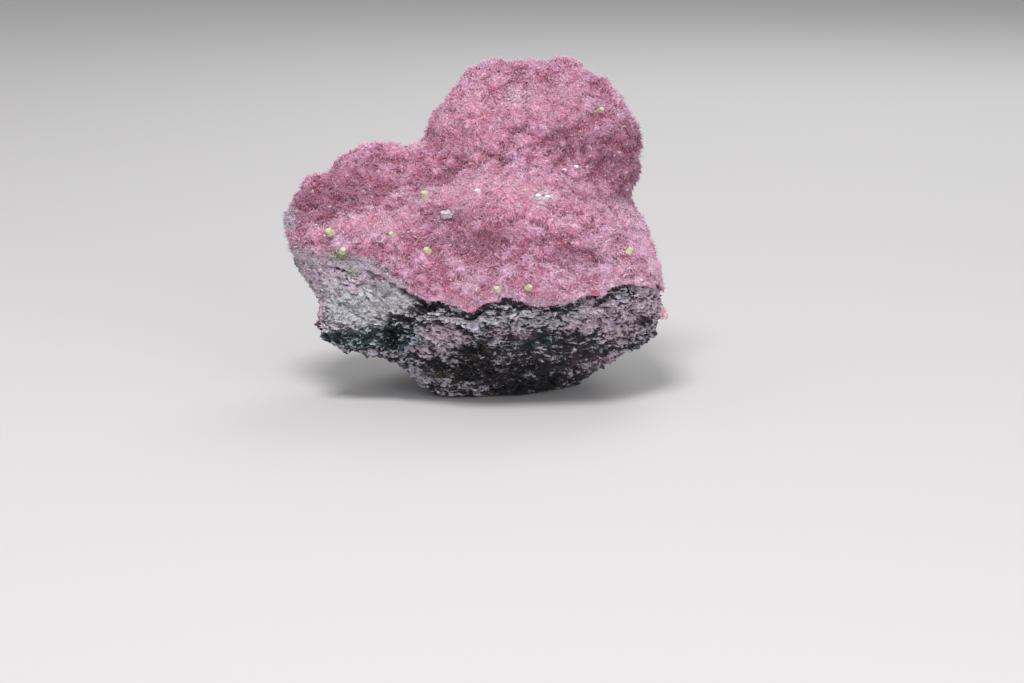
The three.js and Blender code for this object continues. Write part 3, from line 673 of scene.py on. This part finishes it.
# Places painted darker, as painted shade, on the lobes and in the left hollow
DULL = [
    ((30, 15, 92), (22, 22, 20)), ((44, -4, 62), (14, 14, 8)), ((-42, 2, 64), (26, 16, 12)),
    ((-50, -6, 60), (14, 14, 8)),
]
WARM = [
    ((14, -24, 66), (18, 9, 6)), ((-5, -15, 67), (14, 10, 5)), ((-30, -20, 56), (12, 7, 4)),
    ((20, 10, 90), (16, 8, 8)), ((-3, 10, 84), (10, 14, 12)),
]
LILAC = [
    ((5, -46, 38), (22, 6, 4)), ((30, -44, 40), (18, 8, 5)), ((10, -44, 45), (20, 9, 6)),
    ((36, -40, 46), (14, 10, 5)), ((46, -34, 37), (14, 10, 5)), ((48, -25, 44), (12, 12, 8)),
    ((52, 5, 55), (8, 10, 8)), ((-38, -24, 51), (10, 6, 3)), ((50, 18, 86), (6, 8, 8)),
]
GREYED = [
    ((-61, -6, 55), (5, 9, 6)), ((-50, -19, 44), (16, 12, 5)), ((-36, -30, 43), (11, 9, 4.5)),
    ((-64, -6, 49), (7, 9, 6)), ((-26, -38, 38.5), (7, 6, 2.5)),
]
FADE = [
    ((-57, -15, 41), (7, 8, 4)), ((-47, -26, 39), (8, 8, 4)), ((-37, -32, 39), (8, 7, 4)),
    ((-28, -38, 37), (6, 5, 3)),
]
GRAINY = [
    ((36, 6, 82), (9, 6, 6)), ((12, -46, 39), (14, 5, 3)), ((2, -14, 68), (14, 8, 4)),
    ((24, -22, 65), (8, 6, 4)), ((52, 10, 74), (5, 6, 6)), ((48, -24, 47), (6, 6, 4)),
]
WHITISH = [
    ((14, 13, 92), (4, 5, 2.5)), ((-4, -44, 41), (6, 5, 2)), ((24, -21, 64), (6, 5, 2)),
    ((-30.5, -33, 45.5), (3, 4, 2.6)),
]
GREENISH = [((-42, -28, 46.5), (4, 4, 2.4)), ((-37.5, -31, 41.5), (2.5, 4, 1.6))]


def make_crust():
    """The ground of the crust and what grows on it. Gives the ground and its thin rim points."""
    ground = copy_of("pink_crust", "pink_crust_ground")
    rock_tree = Surface(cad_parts["matrix"].data).tree()

    def measured(surface):
        """The crust's thickness, and from 0 to 1 its outer face and the lip between the faces."""
        under, thickness = nearest_on(rock_tree, surface.points)
        facing = np.einsum("ij,ij->i", surface.points - under, surface.normals)
        facing /= np.maximum(thickness, TOUCHING)
        outer = ramp(facing, -0.3, 0.3) * ramp(thickness, 0.3 * MM, 0.6 * MM)
        lip = ramp(facing, -0.6, -0.1) * ramp(thickness, 0.05 * MM, 0.2 * MM) * (1 - outer)
        return thickness, outer, lip

    remesh(ground, GROUND_VOXEL)
    keep_largest_part(ground)
    soften(ground, 5)
    split_faces(ground, lambda surface: measured(surface)[1] > 0.3)
    surface = Surface(ground.data)
    points, normals = surface.points, surface.normals
    thickness, outer, lip = measured(surface)

    tufts = nearest_seed(warped(points, 2.5, 0.6, 60), TUFT, TUFT_SEED)[1]
    clumps = nearest_seed(warped(points, 5, 1.5, 68), CLUMP, 71)[1]
    gaps = creased(warped(points, 6, 1.5, 64), 7, 70, 2)
    valley = 0.42 * ramp(tufts, 0.25, 0.8) + 0.7 * ramp(clumps, 0.25, 0.85)
    valley = valley + 0.5 * ramp(gaps, 0.4, 0.0)
    valley = np.clip(valley, 0, 1) * (1 - 0.45 * spots(points, WARM))
    sink = np.minimum((SINK[0] + SINK[1] * valley) * MM, MOST_SUNK * thickness) * outer
    rim = np.maximum(ramp(thickness, *RIM_THICKNESS) * outer, lip)
    move_corners(ground, points - normals * sink[:, None])
    # painted shade: the ground is painted darker in the valleys between tufts and on its hidden
    # inner face
    dark = np.maximum(valley * (1 - 0.8 * rim), DULL_BACK * (1 - np.maximum(outer, lip)))
    set_crust_values(ground, points, 0.6 * (1 - dark), 0.5 + 0.3 * rim, dark)
    finish_piece(ground, crust_paint("crust ground", bump=0.5), "pink_crystal", "pink_crust")

    clear_of = np.ones(len(points))
    for name in [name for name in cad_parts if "crystal_" in name]:
        low, high = (np.array(corner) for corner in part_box(name))
        size = (high - low).max() / 2
        clear_of *= ramp(np.linalg.norm(points - (low + high) / 2, axis=1), 0.2 * size, 0.65 * size)
    full = ramp(thickness, 0.5 * MM, 2.0 * MM)
    density = clear_of * (outer * (0.45 + 0.55 * full) + 1.4 * rim)
    room = np.maximum(sink * (1 - 0.55 * valley), 1.0 * MM * rim)
    bed = {"surface": Surface(ground.data), "outward": normals, "room": room, "valley": valley}
    high = density * (1 - valley) ** 2
    for name, kind in GROWTHS.items():
        needles = grow(name, density=density, **kind, **bed)
        contrast = 0.5 if kind["sides"] == 1 else 1.0
        finish_piece(needles, crust_paint(name, contrast=contrast), "pink_crystal", "pink_crust")
    flakes = grow("glinting_flakes", density=high, **FLAKES, **bed)
    finish_piece(flakes, clear_paint("glinting flakes"), "clear_crystal")
    grainy = high * (0.05 + spots(points, GRAINY))
    grains = grow("yellow_green_grains", density=grainy, **GRAINS, **bed)
    finish_piece(grains, yellow_green_paint("yellow-green grains"), "yellow_green_crystal")
    thin = (lip > 0.3) | ((outer > 0.3) & (thickness < RIM_THICKNESS[1]))
    return ground, Surface(ground.data).points[thin]


def grow_fade(surface, contact):
    """Thin needles on the bare rock, where the crust fades out at the left, and along its edge."""
    strayed = warped(surface.points, 5, 3, 80)
    room = (0.7 + 0.9 * contact) * MM
    patches = ramp(noise(surface.points, 3, 83), -0.5, 0.5)
    density = spots(strayed, FADE, 0.8) * (0.15 + patches) + 1.2 * contact
    density = density * (surface.normals[:, 1] < 0.2)
    level = np.zeros(len(surface.points))
    needles = grow("fading_needles", surface=surface, outward=surface.normals, room=room,
                   valley=level, density=density, **FADE_NEEDLES)
    finish_piece(needles, crust_paint("fading needles", greyed=0.8), "pink_crystal")


def soften(piece, times):
    change = piece.modifiers.new("soften", "SMOOTH")
    change.factor, change.iterations = 0.5, times
    apply_modifiers(piece)


def keep_largest_part(piece):
    """Deletes the loose bits that the remesh leaves."""
    mesh = bmesh.new()
    mesh.from_mesh(piece.data)
    mesh.verts.ensure_lookup_table()
    part = np.full(len(mesh.verts), -1)
    for start in range(len(part)):
        if part[start] >= 0:
            continue
        part[start] = start
        waiting = [mesh.verts[start]]
        while waiting:
            corner = waiting.pop()
            for edge in corner.link_edges:
                other = edge.other_vert(corner)
                if part[other.index] < 0:
                    part[other.index] = start
                    waiting.append(other)
    largest = np.bincount(part).argmax()
    loose = [vert for vert in mesh.verts if part[vert.index] != largest]
    bmesh.ops.delete(mesh, geom=loose, context="VERTS")
    mesh.to_mesh(piece.data)
    mesh.free()


def scatter(surface, count, density):
    """Random places on a surface, as a function that gives any corner value at all of them."""
    corners = surface.points[surface.triangles]
    sides = corners[:, 1:] - corners[:, :1]
    area = np.linalg.norm(np.cross(sides[:, 0], sides[:, 1]), axis=1)
    weight = area * density[surface.triangles].mean(axis=1)
    picked = rng.choice(len(weight), count, p=weight / weight.sum())
    shares = rng.dirichlet((1, 1, 1), count)
    corner = surface.triangles[picked]
    return lambda values: np.einsum("ij,ij...->i...", shares, values[corner])


def grow(name, count, sides, lengths, widths, flatness, tip, lying, surface, outward, room,
         valley, density, turned=0.0):
    """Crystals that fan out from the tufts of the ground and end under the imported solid's surface.

    A share of them lies nearly flat, across the others, and a share has a face turned to glint.
    """
    at = scatter(surface, count, density)
    root, space = at(surface.points), at(room)
    normal, out = unit(at(surface.normals)), unit(at(outward))
    fan = (root - nearest_seed(root, TUFT, TUFT_SEED)[0]) / (TUFT * MM)
    standing = 0.8 * normal + 0.5 * out + 0.9 * fan + 0.5 * rng.normal(size=root.shape)
    standing += normal * np.maximum(0.3 - np.einsum("ij,ij->i", standing, normal), 0)[:, None]
    across = unit(np.cross(normal, rng.normal(size=root.shape)))
    flat = across + rng.uniform(0.25, 0.6, count)[:, None] * normal
    axes = unit(np.where((rng.random(count) < lying)[:, None], flat, standing))
    glints = (rng.random(count) < turned)[:, None]
    level = unit(np.cross(GLINT, across))
    level *= np.sign(np.einsum("ij,ij->i", level, out))[:, None]
    axes = np.where(glints, level, axes)
    rise = np.maximum(np.einsum("ij,ij->i", axes, out), 0.15)
    length = rng.uniform(*lengths, count) * MM
    length = np.maximum(np.minimum(length, (space + OVER) / rise), SHORTEST)
    width = rng.uniform(*widths, count) * MM
    return spikes(name, root - axes * SUNK, axes, length + SUNK, width, flatness * width, sides,
                  tip, at(valley), glints)


def spikes(name, roots, axes, lengths, widths, depths, sides, tip, valley, glints):
    """One mesh of closed crystals: on each root a prism with so many sides and a pointed end.

    With 1 side it is the plainest spike, three corners round the root and one at the tip.
    """
    count = len(roots)
    helper = np.where(np.abs(axes[:, 2:]) < 0.9, [[0.0, 0.0, 1.0]], [[1.0, 0.0, 0.0]])
    helper = np.where(glints, GLINT, helper)
    across = unit(np.cross(axes, helper))
    other = np.cross(axes, across)
    spin = rng.uniform(0, 2 * math.pi, count)[:, None]
    spin = np.where(glints, math.pi + np.arctan2(depths, widths)[:, None], spin)
    turned = np.cos(spin) * across + np.sin(spin) * other
    across, other = turned, np.cos(spin) * other - np.sin(spin) * across

    plain = sides == 1
    sides = max(sides, 3)
    turn = 2 * math.pi * np.arange(sides) / sides
    ring = across[:, None] * (np.cos(turn)[None, :, None] * widths[:, None, None] / 2)
    ring = ring + other[:, None] * (np.sin(turn)[None, :, None] * depths[:, None, None] / 2)
    ends = (roots + axes * lengths[:, None])[:, None]
    shoulders = (roots + axes * (lengths * (1 - tip))[:, None])[:, None]
    shoulders = shoulders + SHOULDER_WIDTH * ring
    rings = [roots[:, None] + ring] if plain else [roots[:, None] + ring, shoulders]
    points = np.concatenate([*rings, ends], axis=1)

    each = points.shape[1]
    low = np.arange(sides)
    after = np.roll(low, -1)
    last = each - 1 - sides
    pattern = [(last + low[k], last + after[k], each - 1) for k in low]
    pattern += [(0, low[k + 1], low[k]) for k in range(1, sides - 1)]
    if not plain:
        pattern += [(low[k], after[k], sides + after[k]) for k in low]
        pattern += [(low[k], sides + after[k], sides + low[k]) for k in low]
    triangles = (np.array(pattern)[None] + each * np.arange(count)[:, None, None]).reshape(-1, 3)
    made = mesh_object(name, points.reshape(-1, 3), triangles)

    fan = np.stack([np.cos(turn), np.sin(turn)], axis=1)
    flat = [UV_ROOT * fan, *([] if plain else [UV_SHOULDER * fan]), [[0.0, 0.0]]]
    flat = np.concatenate(flat)
    row = math.ceil(math.sqrt(count))
    cell = np.stack(np.divmod(np.arange(count), row), axis=1)
    uv = (cell[:, None] + 0.5 + flat[None]).reshape(-1, 2) / row
    layer = made.data.uv_layers.new(name="OFBake")
    layer.data.foreach_set("uv", uv[triangles.ravel()].astype(np.float32).ravel())

    rise = [0.0] * sides + ([] if plain else [SHOULDER_RISE] * sides) + [1.0]
    tone = np.repeat(rng.random(count), each)
    places, valleys = np.repeat(roots, each, axis=0), np.repeat(valley, each)
    set_crust_values(made, places, np.tile(rise, count), tone, valleys)
    return made


def mesh_object(name, points, triangles):
    mesh = bpy.data.meshes.new(name)
    mesh.vertices.add(len(points))
    mesh.vertices.foreach_set("co", points.ravel())
    mesh.loops.add(triangles.size)
    mesh.loops.foreach_set("vertex_index", triangles.ravel().astype(np.int32))
    mesh.polygons.add(len(triangles))
    mesh.polygons.foreach_set("loop_start", np.arange(0, triangles.size, 3, dtype=np.int32))
    mesh.polygons.foreach_set("use_smooth", np.ones(len(triangles), bool))
    mesh.update(calc_edges=True)
    made = bpy.data.objects.new(name, mesh)
    bpy.context.scene.collection.objects.link(made)
    return made


def set_crust_values(piece, points, rise, tone, valley):
    """What crust_paint needs: each corner's height on its crystal, tone, tuft and places."""
    strayed = warped(points, 6, 2.5, 50)
    tuft = nearest_seed(points, TUFT, TUFT_SEED)[0]
    set_values(
        piece,
        rise=rise,
        tone=tone,
        tuft=hashed(np.floor(tuft / SEED_GRID), 5),
        valley=valley,
        dusky=spots(strayed, DUSKY, 0.6),
        warm=spots(strayed, WARM, 0.6),
        dull=spots(strayed, DULL, 0.3),
        lilac=spots(strayed, LILAC, 0.6),
        greyed=spots(strayed, GREYED, 0.45),
        whitish=spots(strayed, WHITISH, 0.5),
        greenish=spots(strayed, GREENISH, 0.5),
    )


def crust_paint(name, greyed=0.0, contrast=1.0, bump=0.0):
    """Pink crystals, darker at their roots. greyed is the least share of grey ones among them."""
    skin = {
        "Subsurface_Weight": 0.5,
        "Subsurface_Radius": (1.0, 0.4, 0.5),
        "Subsurface_Scale": 1.0 * MM,
    }
    paint = Paint(name, Roughness=0.5, Specular_IOR_Level=0.15, **skin)
    value, times, ramp_of, mix = paint.attribute, paint.times, paint.ramp, paint.mix
    rise, tone, tuft = (value(part) for part in ("rise", "tone", "tuft"))
    cloud = ramp_of(paint.noise(6, 4, 0.6), 0.35, 0.65)
    patch = paint.noise(2.6, 3, 0.6)

    tip = mix(cloud, (0.86, 0.44, 0.68), (0.90, 0.46, 0.64))
    tip = mix(value("warm"), tip, (0.93, 0.46, 0.61))
    tip = mix(value("lilac"), tip, (0.87, 0.56, 0.77))
    tip = mix(ramp_of(tuft, 0.0, 1.0, 0.0, 0.3), tip, (0.84, 0.64, 0.81))
    tip = mix(ramp_of(tone, 0.55, 1.0, 0.0, 0.8 * contrast), tip, (0.74, 0.66, 0.80))
    tip = mix(ramp_of(tone, 0.38, 0.0, 0.0, 0.7 * contrast), tip, (0.74, 0.19, 0.34))
    tip = mix(times(value("whitish"), 0.6), tip, (0.95, 0.78, 0.88))
    tip = mix(times(value("dusky"), 0.75), tip, (0.40, 0.15, 0.24))
    root = mix(cloud, (0.70, 0.19, 0.34), (0.76, 0.21, 0.33))
    root = mix(value("dusky"), root, (0.32, 0.10, 0.16))
    body = mix(ramp_of(rise, 0.0, 0.6), root, tip)

    # painted shade: the low parts of crystals in valleys are darker, less so in warm and lilac
    # places
    deep = times(ramp_of(value("valley"), 0.3, 1.0), ramp_of(rise, 1.0, 0.0, 0.15, 0.85))
    even = paint.most(value("warm"), value("lilac"))
    body = mix(times(deep, ramp_of(even, 0.0, 1.0, 1.0, 0.6)), body, (0.45, 0.125, 0.18))
    # painted shade in broad spots
    body = mix(times(value("dull"), 0.14), body, (0.30, 0.06, 0.12))
    spread = times(value("greyed"), ramp_of(patch, 0.38, 0.6, 1.4, 0.55))
    grey = paint.most(spread, ramp_of(patch, 0.45, 0.62, greyed, 0.4 * greyed))
    ashen = mix(tone, (0.45, 0.36, 0.44), (0.67, 0.61, 0.70))
    body = mix(ramp_of(grey, 0.2, 0.8, 0.0, 0.9), body, ashen)
    body = mix(times(value("greenish"), 0.85), body, (0.40, 0.46, 0.33))
    paint.colour(body)
    if bump:
        paint.bump(paint.noise(0.9, 4, 0.7), bump, 0.8)
    return paint.material


# ---------------------------------------------------------------- small crystals


WELD = 0.0001 * MM  # corners nearer than this are one corner
CUTS = {"yellow_green_crystal": 5, "clear_crystal": 8}
LEAST_CUT, DEEPEST_CUT, DISPLAY_CUT = 0.92, 0.72, 0.62  # as shares of a crystal's reach
BEVEL = 0.07 * MM
KNOB = 1.4  # millimetres between the knobs of a lumpy cluster
LUMP_VOXEL = 0.22 * MM


def crystal_paint(name, light, dark, bump=0.6, **fixed):
    paint = Paint(name, **fixed)
    paint.colour(paint.mix(paint.ramp(paint.noise(0.9, 4), 0.35, 0.65), dark, light))
    if bump:
        paint.bump(paint.noise(0.4, 3), 0.08, bump)
    return paint.material


def yellow_green_paint(name="yellow-green crystal"):
    return crystal_paint(name, (0.70, 0.72, 0.47), (0.56, 0.58, 0.34), Roughness=0.35)


def clear_paint(name="clear crystal"):
    fixed = {"Roughness": 0.1, "Transmission_Weight": 0.25, "IOR": 1.54}
    return crystal_paint(name, (1.0, 1.0, 1.0), (0.95, 0.95, 0.96), bump=0, **fixed)


def cleaved(piece, cuts, seed, display_face=False):
    """Breaks flat faces off a crystal, each at a share of its reach, then bevels its edges."""
    pick = np.random.default_rng(seed)
    mesh = bmesh.new()
    mesh.from_mesh(piece.data)
    bmesh.ops.remove_doubles(mesh, verts=mesh.verts, dist=WELD)
    for number in range(cuts):
        middle = np.mean([vert.co for vert in mesh.verts], axis=0)
        normal, share = unit(pick.normal(size=(1, 3)))[0], pick.uniform(DEEPEST_CUT, LEAST_CUT)
        if display_face and number == cuts - 1:
            normal, share = GLINT, DISPLAY_CUT
        reach = max((np.array(vert.co) - middle) @ normal for vert in mesh.verts)
        place = middle + normal * reach * share
        geometry = [*mesh.verts, *mesh.edges, *mesh.faces]
        cut = bmesh.ops.bisect_plane(
            mesh, geom=geometry, plane_co=place, plane_no=normal, clear_outer=True
        )
        rim = [part for part in cut["geom_cut"] if isinstance(part, bmesh.types.BMEdge)]
        bmesh.ops.edgenet_fill(mesh, edges=rim)
    bmesh.ops.recalc_face_normals(mesh, faces=mesh.faces)
    mesh.to_mesh(piece.data)
    mesh.free()
    edges = piece.modifiers.new("edges", "BEVEL")
    edges.width, edges.segments = BEVEL, 1
    apply_modifiers(piece)


def lumpy(piece):
    """Turns a plain solid into a rounded, knobbly cluster of the same size."""
    remesh(piece, LUMP_VOXEL)
    soften(piece, 6)
    surface = Surface(piece.data)
    knobs = np.minimum(nearest_seed(surface.points, KNOB, 90)[1], 0.75)
    height = (0.4 - 1.1 * knobs) * MM
    move_corners(piece, surface.points + surface.normals * height[:, None])


def make_small_crystals():
    white = crystal_paint("white crystal", (0.72, 0.66, 0.71), (0.54, 0.48, 0.54), Roughness=0.3)
    looks = {
        "yellow_green_crystal": yellow_green_paint(),
        "white_crystal": white,
        "clear_crystal": clear_paint(),
    }
    for number, node in enumerate(sorted(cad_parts)):
        kind = next((kind for kind in looks if node.startswith(kind)), None)
        if kind:
            piece = copy_of(node, node + "_piece")
            if kind in CUTS:
                cleaved(piece, CUTS[kind], number, display_face=kind == "clear_crystal")
            else:
                lumpy(piece)
            finish_piece(piece, looks[kind], kind, node)
    nub = copy_of("pink_nub", "pink_nub_piece")
    lumpy(nub)
    paint = crystal_paint("pink nub", (0.92, 0.60, 0.66), (0.74, 0.38, 0.46), Roughness=0.35)
    finish_piece(nub, paint, "pink_crystal", "pink_nub")


# ---------------------------------------------------------------- the scene

bpy.context.scene.view_settings.view_transform = "Standard"
make_camera()
make_world()
for lamp, facts in LAMPS.items():
    make_lamp(lamp, *facts)

bpy.ops.mesh.primitive_plane_add(size=FLOOR_SIZE)
floor = bpy.context.object
floor.name = "floor"
floor.data.materials.append(Paint("floor", Base_Color=FLOOR_COLOUR, Roughness=0.9).material)

make_matrix(*make_crust())
make_small_crystals()
